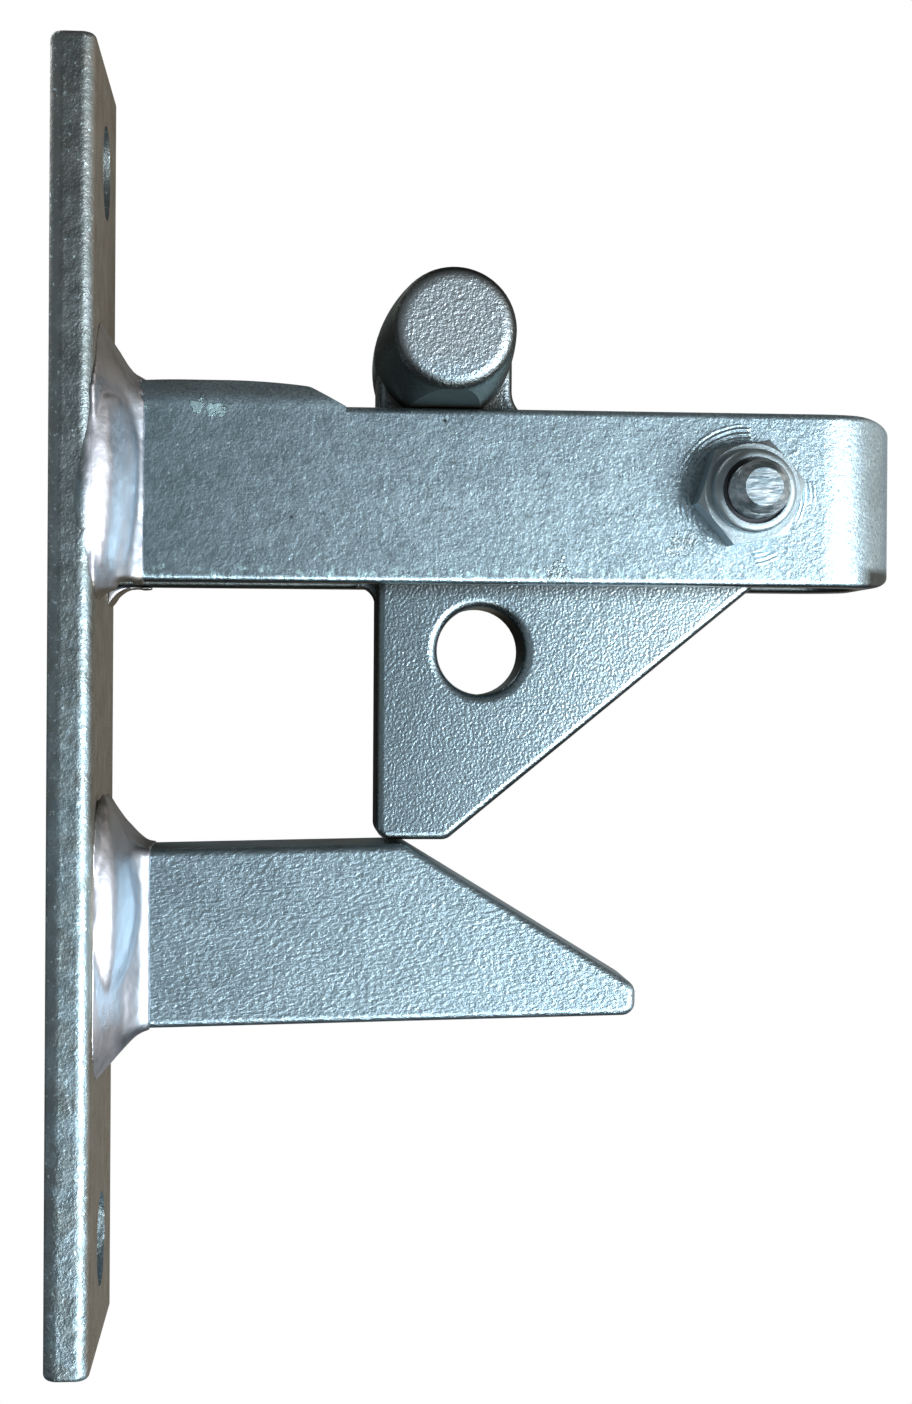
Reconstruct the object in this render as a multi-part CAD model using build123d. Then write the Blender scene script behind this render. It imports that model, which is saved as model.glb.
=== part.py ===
"""Automatic gate latch: a welded post bracket with a drop tongue that lifts itself over a gate rail.

Millimetres. The origin is the centre of the back plate's post face, +X points away from the post,
+Y points to the latch's rear (the bolt head side) and +Z is up.
"""
import os
from math import asin, atan2, cos, radians, sin, sqrt, tan

from build123d import *

# Back plate: a length of flat bar with one bolt hole near each end
plate_width = 50.0
plate_thickness = 8.0
plate_height = 232.0
plate_edge_round = 2.6
plate_end_round = 1.2
bolt_hole_diameter = 17.0
bolt_hole_end_distance = 19.0

# Upper arm: flat bar bent into a U that lies on its side, both ends welded to the plate
strap_height = 31.2
strap_thickness = 6.0
strap_reach = 152.4
strap_underside = 22.3
strap_edge_round = 1.2
strap_nose_length = 9.0
strap_nose_radius = 18.5
strap_chin_length = 6.0
strap_chin_radius = 10.0

# Window that the gate's rail sits in, between the plate, the tongue and the two arms
window_width = 49.4
window_height = 47.8

# Keeper arm: solid bar with a sloping end that guides the rail in
keeper_height = 32.1
keeper_thickness = 20.0
keeper_tilt = 1.3
keeper_top_reach = 62.4
keeper_reach = 104.6
keeper_tip_height = 5.4
keeper_edge_round = 1.5
keeper_corner_round = 4.0
keeper_tip_round = 2.4

# Tongue: one casting of blade, eye, neck and cross handle, hung between the strap's cheeks
tongue_thickness = 17.2
tongue_side_clearance = 0.4
tongue_keeper_gap = 0.6
tongue_toe_length = 12.8
tongue_edge_round = 1.4
tongue_corner_round = 2.5
eye_radius = 14.5
shoulder_drop = 1.1
shoulder_round = 5.0
neck_width = 24.2
padlock_hole_diameter = 15.8
padlock_hole_setback = 18.8
padlock_hole_drop = 11.8
padlock_hole_round = 1.8

# Cross handle: fullest at the neck, bowed down to its ends, with a flat seat just over the strap
handle_root_diameter = 24.4
handle_end_diameter = 20.6
handle_length = 78.0
handle_setback = 11.6
handle_rise = 10.5
handle_end_round = 2.5
handle_rest_gap = 0.3

# Pivot: hex bolt from the rear with a lock nut on the front face
pivot_setback = 29.4
pivot_rise = 16.4
bolt_diameter = 10.0
bolt_projection = 17.0
bolt_end_chamfer = 1.7
bolt_head_flats = 17.0
bolt_head_height = 6.4
strap_hole_clearance = 0.5
tongue_hole_clearance = 0.3

# Lock nut: hexagon with a rolled collar that traps a nylon ring
nut_flats = 17.0
nut_height = 10.0
nut_hex_height = 6.8
nut_turn = 11.5
nut_collar_diameter = 14.8
nut_collar_round = 1.2
nut_lip_thickness = 0.7
nut_lip_opening = 11.8
nut_collar_wall = 0.9
insert_height = 2.4
thread_clearance = 0.05
hex_bevel_angle = 30.0

# Stop plate: lies over the strap's root, crowned a little, and halts the lifted tongue
stop_thickness = 4.9
stop_crown = 1.3
stop_reach = 51.4
stop_nose_length = 6.4
stop_nose_round = 4.0

# Weld beads: how far each spreads over the plate, and how far along its arm
weld_toe = 0.3
weld_root = 1.3
weld_hollow = 1.7
weld_edge_hollow = 1.35
weld_steps = (0, 0.2, 0.45, 0.7, 1)
upper_weld_side = (9.2, 8.2)
upper_weld_top = (11.0, 7.4)
upper_weld_bottom = (3.2, 3.2)
keeper_weld_side = (11.5, 9.5)
keeper_weld_top = (9.0, 8.0)
keeper_weld_bottom = (8.4, 8.6)

# Places that follow from the driving dimensions
strap_top = strap_underside + strap_height
slot_half = tongue_thickness / 2 + tongue_side_clearance
strap_half = slot_half + strap_thickness
bend_x = strap_reach - strap_half
stop_top = strap_top + stop_thickness
keeper_root_top = strap_underside - window_height
tongue_face = plate_thickness + window_width
pivot_reach = strap_reach - pivot_setback
pivot_z = strap_underside + pivot_rise
handle_x = tongue_face + handle_setback
handle_z = strap_top + handle_rise
stop_middle = (plate_thickness + stop_reach - stop_nose_length) / 2
stop_half_span = stop_middle - plate_thickness
stop_crown_radius = (stop_half_span**2 + stop_crown**2) / (2 * stop_crown)
bolt_radius = bolt_diameter / 2


def keeper_top(x):
    """Height of the keeper arm's top face at a distance x from the post."""
    return keeper_root_top + (x - plate_thickness) * tan(radians(keeper_tilt))


def keeper_bottom(x):
    """Height of the keeper arm's underside at a distance x from the post."""
    return keeper_top(x) - keeper_height


def stop_height(x):
    """Height of the stop plate's crowned top at a distance x from the post."""
    return stop_top - stop_crown_radius + sqrt(stop_crown_radius**2 - (x - stop_middle) ** 2)


tongue_bottom = keeper_top(keeper_top_reach) + tongue_keeper_gap


def along_y(radius, y_from, y_to, x=pivot_reach, z=pivot_z):
    """Round bar parallel to Y between two Y positions, on the pivot axis unless placed elsewhere."""
    bar = Cylinder(radius, abs(y_to - y_from))
    return Pos(x, (y_from + y_to) / 2, z) * Rot(90, 0, 0) * bar


def turned_on_pivot(points):
    """Ring or disc turned about the pivot axis; points are pairs of radius and Y position."""
    section = make_face(Polyline([(pivot_reach + r, y) for r, y in points], close=True))
    return revolve(Pos(0, 0, pivot_z) * section, Axis((pivot_reach, 0, pivot_z), (0, 1, 0)))


def hexagon(flats, y_seat, y_top, turn=0.0):
    """Hexagon bar on the pivot axis, its corners bevelled at the end away from the seat."""
    height = abs(y_top - y_seat)
    way = 1 if y_top > y_seat else -1
    outline = RegularPolygon(flats / 2, 6, major_radius=False, rotation=turn)
    corner = flats / sqrt(3)
    bevel = (corner - flats / 2) * tan(radians(hex_bevel_angle))
    prism = extrude(outline, height)
    prism = Pos(pivot_reach, y_seat, pivot_z) * Rot(-90 * way, 0, 0) * prism
    outside = [(0, y_seat), (corner, y_seat), (corner, y_top - way * bevel), (flats / 2, y_top), (0, y_top)]
    return prism & turned_on_pivot(outside)


def side_slab(outline, thickness):
    """Slab of a given thickness about Y = 0 from an outline drawn in X and Z."""
    return extrude(Plane.XZ * make_face(outline), thickness / 2, both=True)


def edges_round_y(solid, *places):
    """Edges parallel to Y that pass through the given X and Z places."""
    found = []
    for x, z in places:
        found.append(solid.edges().filter_by(Axis.Y).sort_by_distance(Vector(x, 0, z))[0])
    return found


def outline_edges(slab, thickness, clear_of_x=None):
    """Edges round a slab's two flat faces, leaving out those at the X place where it is welded."""
    edges = slab.edges().filter_by_position(Axis.Y, thickness / 2, thickness / 2)
    edges += slab.edges().filter_by_position(Axis.Y, -thickness / 2, -thickness / 2)
    if clear_of_x is None:
        return edges
    return edges.filter_by(lambda edge: edge.center().X > clear_of_x + weld_toe)


def back_plate():
    """Flat bar with round-rolled long edges and a bolt hole near each end."""
    plate = Pos(plate_thickness / 2, 0, 0) * Box(plate_thickness, plate_width, plate_height)
    plate = fillet(plate.edges().filter_by(Axis.Z), plate_edge_round)
    plate = fillet(plate.faces().filter_by(Axis.Z).edges(), plate_end_round)
    hole_height = plate_height / 2 - bolt_hole_end_distance
    for z in (-hole_height, hole_height):
        drill = Rot(0, 90, 0) * Cylinder(bolt_hole_diameter / 2, 2 * plate_thickness)
        plate -= Pos(plate_thickness / 2, 0, z) * drill
    return plate


def u_shape(half_width):
    """Plan of a U that opens on the plate and closes in a half circle."""
    straight = bend_x - plate_thickness
    legs = Pos(plate_thickness + straight / 2, 0) * Rectangle(straight, 2 * half_width)
    return legs + Pos(bend_x, 0) * Circle(half_width)


def bend_corner(edge_z, length, radius, way):
    """What the bend lacks at its upper or lower edge, where the stretched bar has drawn in.

    The edge at edge_z curves away over a length up to the bend's end; way points into the bar.
    """
    middle_x = strap_reach - length
    middle_z = edge_z + way * radius
    block = Pos(middle_x + radius, 0, middle_z - way * radius) * Box(2 * radius, 4 * strap_half, 2 * radius)
    return block - along_y(radius, -4 * strap_half, 4 * strap_half, middle_x, middle_z)


def upper_strap():
    """U of flat bar, its long edges softened, drilled through both cheeks for the pivot bolt."""
    plan = u_shape(strap_half) - u_shape(slot_half)
    strap = Pos(0, 0, strap_underside) * extrude(plan, strap_height)
    strap -= bend_corner(strap_top, strap_nose_length, strap_nose_radius, -1)
    strap -= bend_corner(strap_underside, strap_chin_length, strap_chin_radius, 1)
    rims = strap.edges().filter_by(Axis.Z, reverse=True).filter_by(Axis.Y, reverse=True)
    long_rims = rims.filter_by(lambda edge: edge.center().X > plate_thickness + weld_toe)
    strap = fillet(long_rims, strap_edge_round)
    return strap - along_y(bolt_radius + strap_hole_clearance, -2 * strap_half, 2 * strap_half)


def stop_side():
    """Side outline of the stop plate: crowned top, and a nose that slopes down to the strap."""
    foot = (plate_thickness, strap_top)
    nose = (stop_reach, strap_top)
    crown_end = (stop_reach - stop_nose_length, stop_top - stop_crown)
    crown_start = (plate_thickness, stop_top - stop_crown)
    outline = Curve() + [
        Line(foot, nose),
        Line(nose, crown_end),
        ThreePointArc(crown_end, (stop_middle, stop_top), crown_start),
        Line(crown_start, foot),
    ]
    return outline


def stop_blank(width):
    """Stop plate blank of a given width, its nose rounded over."""
    blank = side_slab(stop_side(), width)
    nose_edges = edges_round_y(blank, (stop_reach - stop_nose_length, stop_top - stop_crown))
    return fillet(nose_edges, stop_nose_round)


def stop_plate():
    """Plate that bridges the strap's cheeks, set in from them by the width of its side beads."""
    return stop_blank(2 * (strap_half - stop_thickness))


def stop_welds():
    """Quarter-round beads along the stop plate's long sides, which fill the strap's rounded edges."""
    inner = strap_half - stop_thickness
    length = stop_reach - plate_thickness
    beads = []
    for side in (-1, 1):
        round_bar = Rot(0, 90, 0) * Cylinder(stop_thickness, 2 * stop_reach)
        bead = stop_blank(2 * strap_half) & (Pos(0, side * inner, strap_top) * round_bar)
        outer_half = Pos(0, side * (inner + strap_half), strap_top) * Box(
            4 * stop_reach, 2 * strap_half, 4 * stop_thickness
        )
        seam = Pos(
            plate_thickness + length / 2,
            side * (strap_half - strap_edge_round / 2),
            strap_top - strap_edge_round / 2,
        ) * Box(length, strap_edge_round, strap_edge_round)
        beads.append(((bead & outer_half) + (seam - upper_strap())).solid())
    return Compound(beads)


def keeper_arm():
    """Solid bar with a sloping end, tilted up a little towards its tip."""
    slope_start = (keeper_top_reach, keeper_top(keeper_top_reach))
    tip_foot = (keeper_reach, keeper_bottom(keeper_reach))
    slope_end = (keeper_reach, tip_foot[1] + keeper_tip_height)
    outline = Polyline(
        (plate_thickness, keeper_top(plate_thickness)),
        slope_start,
        slope_end,
        tip_foot,
        (plate_thickness, keeper_bottom(plate_thickness)),
        close=True,
    )
    arm = side_slab(outline, keeper_thickness)
    arm = fillet(edges_round_y(arm, slope_start), keeper_corner_round)
    arm = fillet(edges_round_y(arm, slope_end, tip_foot), keeper_tip_round)
    return fillet(outline_edges(arm, keeper_thickness, plate_thickness), keeper_edge_round)


def rounded_section(x, half_width, low, high, low_round, high_round):
    """Rectangle across an arm at a distance x from the post, with its own roundings below and above."""
    section = Pos(0, (low + high) / 2) * Rectangle(2 * half_width, high - low)
    section = fillet(section.vertices().group_by(Axis.Y)[0], low_round)
    section = fillet(section.vertices().group_by(Axis.Y)[-1], high_round)
    return Plane.YZ.offset(x) * section


def bead(size, x, hollow):
    """How far a bead stands out of its arm at a distance x from the post; size is its spread and reach."""
    spread, reach = size
    left = max(0.0, 1 - (x - plate_thickness) / reach)
    return spread * left**hollow


def weld_collar(half_width, low, high, side, above, below, low_round, high_round):
    """Hollow-faced bead all round an arm's root, before the arm is taken out of it.

    Its root runs on over the plate's rounded edge.
    """
    sections = []
    for step in weld_steps:
        x = plate_thickness + side[1] * step
        beside = bead(side, x, weld_hollow)
        over = bead(above, x, weld_edge_hollow)
        under = bead(below, x, weld_edge_hollow)
        section = rounded_section(
            x,
            half_width + weld_toe + beside,
            low(x) - weld_toe - under,
            high(x) + weld_toe + over,
            low_round + weld_toe + min(beside, under),
            high_round + weld_toe + min(beside, over),
        )
        sections.append(section)
    root = extrude(sections[0], -weld_root)
    return loft(sections) + root - back_plate()


def upper_weld():
    """Bead round the strap's root and over the stop plate, open where the strap's slot is."""
    collar = weld_collar(
        strap_half,
        lambda x: strap_underside,
        stop_height,
        upper_weld_side,
        upper_weld_top,
        upper_weld_bottom,
        strap_edge_round,
        stop_thickness,
    )
    bead_length = 2 * upper_weld_side[1]
    bead_middle = plate_thickness + bead_length / 2
    inside = Box(bead_length, slot_half + strap_half, strap_height)
    collar -= Pos(bead_middle, 0, strap_underside + strap_height / 2) * inside
    slot = Box(bead_length, 2 * slot_half, strap_height)
    collar -= Pos(bead_middle, 0, strap_underside - strap_height / 2) * slot
    return collar - upper_strap() - stop_plate() - stop_welds()


def keeper_weld():
    """Bead all round the keeper arm's root."""
    collar = weld_collar(
        keeper_thickness / 2,
        keeper_bottom,
        keeper_top,
        keeper_weld_side,
        keeper_weld_top,
        keeper_weld_bottom,
        keeper_edge_round,
        keeper_edge_round,
    )
    return collar - keeper_arm()


def eye_tangent(x, z, side):
    """Place where a line from x, z touches the tongue's eye, on its upper (1) or lower (-1) side."""
    across = pivot_reach - x
    up = pivot_z - z
    distance = sqrt(across**2 + up**2)
    turn = atan2(up, across) + side * asin(eye_radius / distance)
    length = sqrt(distance**2 - eye_radius**2)
    return (x + length * cos(turn), z + length * sin(turn))


def tongue_blade():
    """Blade, eye and neck: straight face to the window, sloping edge that rides up on the rail."""
    heel = (tongue_face, tongue_bottom)
    toe = (tongue_face + tongue_toe_length, tongue_bottom)
    shoulder = (tongue_face + neck_width, strap_top - shoulder_drop)
    eye_low = eye_tangent(*toe, -1)
    eye_high = eye_tangent(*shoulder, 1)
    eye_far = (pivot_reach + eye_radius, pivot_z)
    neck_front = (tongue_face, handle_z)
    neck_back = (tongue_face + neck_width, handle_z)
    neck_crown = (handle_x, handle_z + neck_width / 2)
    outline = Curve() + [
        Line(neck_front, heel),
        Line(heel, toe),
        Line(toe, eye_low),
        ThreePointArc(eye_low, eye_far, eye_high),
        Line(eye_high, shoulder),
        Line(shoulder, neck_back),
        ThreePointArc(neck_back, neck_crown, neck_front),
    ]
    blade = side_slab(outline, tongue_thickness)
    blade = fillet(edges_round_y(blade, heel, toe), tongue_corner_round)
    blade = fillet(edges_round_y(blade, shoulder), shoulder_round)
    return fillet(outline_edges(blade, tongue_thickness), tongue_edge_round)


def cross_handle():
    """Round cross bar, bowed down to two rounded ends, its underside flat where it rests on the strap."""
    half = handle_length / 2
    root = handle_root_diameter / 2
    end = handle_end_diameter / 2
    profile = Curve() + [
        Line((0, -half), (end, -half)),
        ThreePointArc((end, -half), (root, 0), (end, half)),
        Line((end, half), (0, half)),
        Line((0, half), (0, -half)),
    ]
    bar = revolve(make_face(profile), Axis.Y)
    circles = bar.edges().filter_by(GeomType.CIRCLE)
    rims = circles.filter_by(lambda edge: abs(edge.center().Y) > half - handle_end_round)
    bar = Pos(handle_x, 0, handle_z) * fillet(rims, handle_end_round)
    seat_z = strap_top + handle_rest_gap
    below = Pos(handle_x, 0, seat_z - root) * Box(4 * root, 2 * handle_length, 2 * root)
    return bar - below


def latch_tongue():
    """The whole casting, with its padlock hole and its hole for the pivot bolt."""
    tongue = tongue_blade() + cross_handle()
    tongue -= along_y(bolt_radius + tongue_hole_clearance, -tongue_thickness, tongue_thickness)
    hole_x = tongue_face + padlock_hole_setback
    hole_z = strap_underside - padlock_hole_drop
    radius = padlock_hole_diameter / 2
    tongue -= along_y(radius, -tongue_thickness, tongue_thickness, hole_x, hole_z)
    rims = tongue.edges().filter_by(GeomType.CIRCLE).filter_by(
        lambda edge: abs(edge.radius - radius) < weld_toe
        and (edge.arc_center - Vector(hole_x, edge.arc_center.Y, hole_z)).length < weld_toe
    )
    return fillet(rims, padlock_hole_round)


def pivot_bolt():
    """Hex bolt with its head on the rear cheek and its end standing out in front of the nut."""
    end = -strap_half - bolt_projection
    outline = [
        (0, strap_half),
        (bolt_radius, strap_half),
        (bolt_radius, end + bolt_end_chamfer),
        (bolt_radius - bolt_end_chamfer, end),
        (0, end),
    ]
    head = hexagon(bolt_head_flats, strap_half, strap_half + bolt_head_height)
    return turned_on_pivot(outline) + head


def lock_nut():
    """Hexagon seated on the front cheek, with a rolled collar and a pocket for the nylon ring."""
    seat = -strap_half
    hex_end = seat - nut_hex_height
    top = seat - nut_height
    collar_radius = nut_collar_diameter / 2
    collar = along_y(collar_radius, seat, top)
    rim = collar.edges().filter_by(GeomType.CIRCLE).sort_by(Axis.Y)[0]
    collar = fillet(rim, nut_collar_round)
    nut = hexagon(nut_flats, seat, hex_end, nut_turn) + collar
    nut -= along_y(bolt_radius + thread_clearance, seat, top)
    nut -= along_y(nut_lip_opening / 2, top, top + nut_lip_thickness)
    pocket_top = top + nut_lip_thickness
    return nut - along_y(collar_radius - nut_collar_wall, pocket_top, pocket_top + insert_height)


def nut_insert():
    """Nylon ring held in the nut's collar."""
    near = -strap_half - nut_height + nut_lip_thickness
    ring = along_y(nut_collar_diameter / 2 - nut_collar_wall, near, near + insert_height)
    return ring - along_y(bolt_radius + thread_clearance, near, near + insert_height)


nodes = {
    "back_plate": back_plate,
    "upper_strap": upper_strap,
    "stop_plate": stop_plate,
    "keeper_arm": keeper_arm,
    "upper_weld": upper_weld,
    "keeper_weld": keeper_weld,
    "stop_welds": stop_welds,
    "latch_tongue": latch_tongue,
    "pivot_bolt": pivot_bolt,
    "lock_nut": lock_nut,
    "nut_insert": nut_insert,
}

os.makedirs("parts", exist_ok=True)
for name, build in nodes.items():
    export_step(build(), f"parts/{name}.step")
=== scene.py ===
"""Automatic gate latch on white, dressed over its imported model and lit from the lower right.

Metres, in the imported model's frame: X away from the post, Y to the rear, Z up.
"""

import math

import bmesh
import bpy
from mathutils import Matrix, Vector, noise


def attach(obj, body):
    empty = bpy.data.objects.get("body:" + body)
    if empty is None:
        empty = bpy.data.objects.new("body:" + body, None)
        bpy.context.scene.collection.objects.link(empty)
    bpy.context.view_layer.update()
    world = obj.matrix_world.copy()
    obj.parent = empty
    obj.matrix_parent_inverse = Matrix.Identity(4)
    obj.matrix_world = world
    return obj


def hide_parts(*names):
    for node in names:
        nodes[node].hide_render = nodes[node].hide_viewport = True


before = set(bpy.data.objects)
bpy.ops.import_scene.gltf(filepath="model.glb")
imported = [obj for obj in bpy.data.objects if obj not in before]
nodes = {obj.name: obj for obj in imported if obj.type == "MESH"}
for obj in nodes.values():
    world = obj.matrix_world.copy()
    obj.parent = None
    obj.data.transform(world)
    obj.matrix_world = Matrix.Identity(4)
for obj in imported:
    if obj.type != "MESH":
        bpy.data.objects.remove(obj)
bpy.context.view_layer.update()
MM = 0.001

# Camera: where it stands in millimetres, how it is turned in degrees, and its focal length in
# image pixels
IMAGE_HEIGHT = 1404
CAMERA_PLACE = (40.853, -419.934, 3.121)
CAMERA_YAW = 4.292
CAMERA_PITCH = -0.263
CAMERA_ROLL = -0.361
FOCAL_PIXELS = 2284.584
SENSOR_HEIGHT = 36.0
CLIP_START = 0.01

# Lights, all aimed at the middle of the latch: azimuth and elevation in degrees, distance, size
# and watts
AIM = Vector((0.075, 0.0, 0.0))
KEY = (39.0, -15.0, 0.9, 0.5, 12.6)
LOW = (8.0, -44.0, 0.8, 0.2, 2.4)
REAR = (225.0, 35.0, 0.9, 0.5, 3.0)
KEY_COLOUR = (0.95, 0.985, 1.0)
REAR_COLOUR = (1.0, 0.97, 0.93)

# Background: its white, the floor's matt colour, the even fill of light, and the floor's height,
# width and depth
WHITE = (1.0, 1.0, 1.0)
PAPER = (0.8, 0.8, 0.8)
FILL = (0.20, 0.21, 0.22)
FLOOR_Z = -0.8
FLOOR_SIZE = (12.0, 12.0)

# Glowing cards that the camera does not see and the metal mirrors: place, the way they face,
# width and height, and colour
ROOM_CARDS = {
    "room_front": ((0.0, -1.8, 0.0), (0, 1, 0), (4.0, 4.0), (0.135, 0.14, 0.141)),
    "room_left": ((-1.4, 0.0, 0.0), (1, 0, 0), (4.0, 4.0), (0.28, 0.28, 0.28)),
    "room_rear": ((-0.95, 0.92, 0.0), (0, -1, 0), (2.0, 2.0), (0.03, 0.028, 0.024)),
    "room_rear_right": ((1.24, 0.91, 0.0), (0, -1, 0), (2.0, 2.0), (0.36, 0.36, 0.35)),
    "room_brown_high": ((0.145, 0.9, 0.85), (0, -1, 0), (0.19, 2.0), (0.06, 0.045, 0.026)),
    "room_brown_low": ((0.145, 0.9, -1.15), (0, -1, 0), (0.19, 2.0), (0.31, 0.28, 0.24)),
    "room_right": ((1.6, 0.0, 0.0), (-1, 0, 0), (4.0, 4.0), (0.74, 0.65, 0.58)),
    "room_below": ((0.0, 0.0, FLOOR_Z + 0.01), (0, 0, 1), (4.0, 4.0), (0.05, 0.05, 0.05)),
    "room_top": ((0.0, 0.0, 1.2), (0, 0, -1), (4.0, 4.0), (0.12, 0.11, 0.10)),
}

# Colours of the metal
ZINC_PALE = (0.47, 0.635, 0.74)
ZINC_DULL = (0.41, 0.565, 0.665)
# Dark zinc: real dark speckle, tone and dross, and painted shade on the strap and the tongue
ZINC_DARK_AND_SHADE = (0.27, 0.37, 0.43)
# Pale zinc: real pale speckle and flecks, and painted light on the tongue's eye end
ZINC_SPECK_AND_SHEEN = (0.62, 0.80, 0.88)
# Brown that paints the reflection of brown surroundings on the plate's window face
ZINC_BROWN_REFLECTION = (0.30, 0.275, 0.235)
# Near-black zinc that paints shade on undersides, in the slot, on the plate's near edge and on the
# casting's dark sides
ZINC_SHADE_DARK = (0.065, 0.074, 0.072)
# Bright zinc: real flecks and drips, and the painted glints beside the stop plate
ZINC_FLECK_AND_GLINT = (0.62, 0.90, 0.97)
PLATE_DARK = (0.22, 0.30, 0.34)
PLATE_BROWN = (0.24, 0.22, 0.19)
HANDLE_GREY = (0.38, 0.42, 0.45)
DROSS = (0.22, 0.27, 0.28)
# Brown of the painted shade in crevices
CREVICE_SHADE = (0.085, 0.08, 0.07)
PIT = (0.10, 0.11, 0.11)
WELD_PALE = (0.52, 0.545, 0.60)
WELD_GREY = (0.42, 0.445, 0.50)
# Dark weld colour: the darker arm side, and the painted shade just short of the toe
WELD_DARK_AND_SHADE = (0.24, 0.28, 0.33)
PLATED = (0.56, 0.66, 0.72)
NUT_GREY = (0.33, 0.41, 0.45)
NUT_PALE = (0.4125, 0.5125, 0.5625)

# Painted reflections: tints that brown or darken what the metal mirrors at a glancing angle
BROWN_REFLECTION_TINT = (0.66, 0.58, 0.46)
DARK_REFLECTION_TINT = (0.46, 0.47, 0.46)
SEAT_REFLECTION_TINT = (0.31, 0.32, 0.32)

# Nylon colours
NYLON = (0.030, 0.036, 0.045)
NYLON_PALE = (0.042, 0.0504, 0.063)

# Metres by which the noise patterns are moved off the origin, where they show a star
PATTERN_SHIFT = (0.31, 0.17, 0.23)

# Span of a noise pattern's values that a cloudy pattern spreads out
CLOUD_SPAN = (0.3, 0.7)

# Turn in degrees and scale of the patterns that are drawn out
KEEPER_SLANT = ((0, 25, 0), (0.6, 1.0, 1.0))
BOLT_STREAK = ((0, 50, 0), (0.25, 1.0, 1.0))

# Pits in millimetres, and the share of a pit's and a spot's radius that is full
PIT_SPACING = 11.0
PIT_RADIUS = 0.45
PIT_CORE = 0.5
SPOT_CORE = 0.8

# Openness of a surface at which the painted crevice shade sets in and is full, and the rays that
# measure it
CREVICE_SHADE_SPAN = (0.85, 0.45)
CREVICE_SHADE_SAMPLES = 8

# Half widths of the strap and the keeper arm in millimetres
STRAP_HALF = 15.0
KEEPER_HALF = 10.0

# Pivot bolt in millimetres: its axis in X and Z, its ends along Y, its head and its thread. Turns
# and rows count the points and rings of its mesh, and steepness is that of the thread's flanks
PIVOT = (123.0, 38.7)
BOLT_RADIUS = 5.0
BOLT_END = -32.0
BOLT_CHAMFER = 1.7
BOLT_SEAT = 15.0
BOLT_TURNS = 64
HEAD_HEIGHT = 6.4
HEAD_FLATS = 17.0
HEAD_TURNS = 96
HEAD_ROWS = 4
THREAD_PITCH = 1.5
THREAD_DEPTH = 0.75
THREAD_START = -8.0
THREAD_ROWS = 12
THREAD_STEEPNESS = 2.4

# Bolt head's bevel: its angle in degrees, and the shares of the flats' radius at its two rings
BEVEL_ANGLE = 30.0
BEVEL_SHARE = 0.96
RIM_SHARE = 0.90

# Scuffs round the pivot: the millimetres from none to full at their inner and outer rings, rings
# per millimetre and how far they wander
SCUFF_INNER = (9.4, 10.2)
SCUFF_OUTER = (13.0, 12.0)
SCUFF_RINGS = 0.36
SCUFF_WANDER = 1.5

# Rough grey patches of dross on the strap's near cheek: X, Z and radius in millimetres
DROSS_SPOTS = ((89.2, 24.0, 2.4), (110.9, 29.2, 2.0), (113.5, 30.8, 1.3))
DROSS_RAGGED = 1.8

# Painted highlights: bright glints beside the stop plate, on the same cheek: X and Z in
# millimetres
GLINT_SPOTS = ((25.4, 53.2), (27.6, 52.8), (29.2, 52.9))
GLINT_RADIUS = 1.2
GLINT_RAGGED = 0.9

# Where the paints change, from none to full: millimetres along X, Y or Z
BAR_SHADE_X = (62.0, 18.0)
BAR_SHADE_Z = (54.5, 51.5)
BAR_DRIP_Z = (25.6, 24.3)
SLOT_SHADE_NEAR_Y = (-13.5, -11.5)
SLOT_SHADE_FAR_Y = (14.0, 12.5)
SLOT_SHADE_Z = (26.5, 25.0)
KEEPER_POINT_X = (55.0, 110.0)
PLATE_BROWN_Z = (-20.0, 100.0)
PLATE_STRAP_SHADOW_Z = (-50.0, 30.0)
PLATE_LOWER_Z = (-60.0, -105.0)
PLATE_CRUST_Z = (-60.0, -95.0)
TONGUE_SHADE_X = (98.0, 60.0)
TONGUE_SHADE_Z = (58.0, 50.0)
TONGUE_LIT_X = (85.0, 125.0)
WINDOW_Z = (64.0, 61.0)
BARREL_Y = (5.0, -5.0)
BARREL_Z = (51.0, 54.0)
HANDLE_GREY_Z = (55.0, 60.0)
HANDLE_GRAIN_Z = (50.0, 58.0)
WELD_FLANK_X = (10.8, 12.0)
WELD_CRUST_X = (7.4, 5.8)
WELD_UNDER_Z = (0.0, 10.0)

# Where the paints change, from none to full: the normal's share along an axis
BAR_UNDER_SHADE = (-0.5, -0.85)
PLATE_EDGE = (-0.955, -0.99)
PLATE_BROAD = (0.72, 0.92)
TONGUE_UNDER_SHADE = (-0.12, -0.45)
WINDOW_SIDE = (-0.35, -0.8)
BARREL_SIDE = (-0.98, -0.70)
SEAT_SIDE = (-0.93, -0.985)
WELD_UNDER = (-0.2, -0.5)

# Weld paint in millimetres: how far out of an arm's face the band of painted shade fades in, where
# its toe is kept bright, how ragged that is, and the brown top's start and end past a given height
WELD_SHADE_BAND = (3.0, 1.4)
WELD_TOE = (0.36, 0.50)
WELD_RAGGED = 0.3
WELD_CROWN = (-8.0, 3.0)

# Weld skins in millimetres: mesh size, count of smoothing passes, swelling, and the height and
# size of their long lumps and small ripples
WELD_MESH = 0.4
WELD_PASSES = 8
WELD_SWELL = 0.06
WELD_LUMP = 0.24
WELD_LUMP_SIZE = (3.2, 3.2, 9.0)
WELD_RIPPLE = 0.05
WELD_RIPPLE_SIZE = (1.1, 1.1, 1.6)
WELD_RIPPLE_SHIFT = Vector((7.0, 3.0, 5.0))

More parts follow.
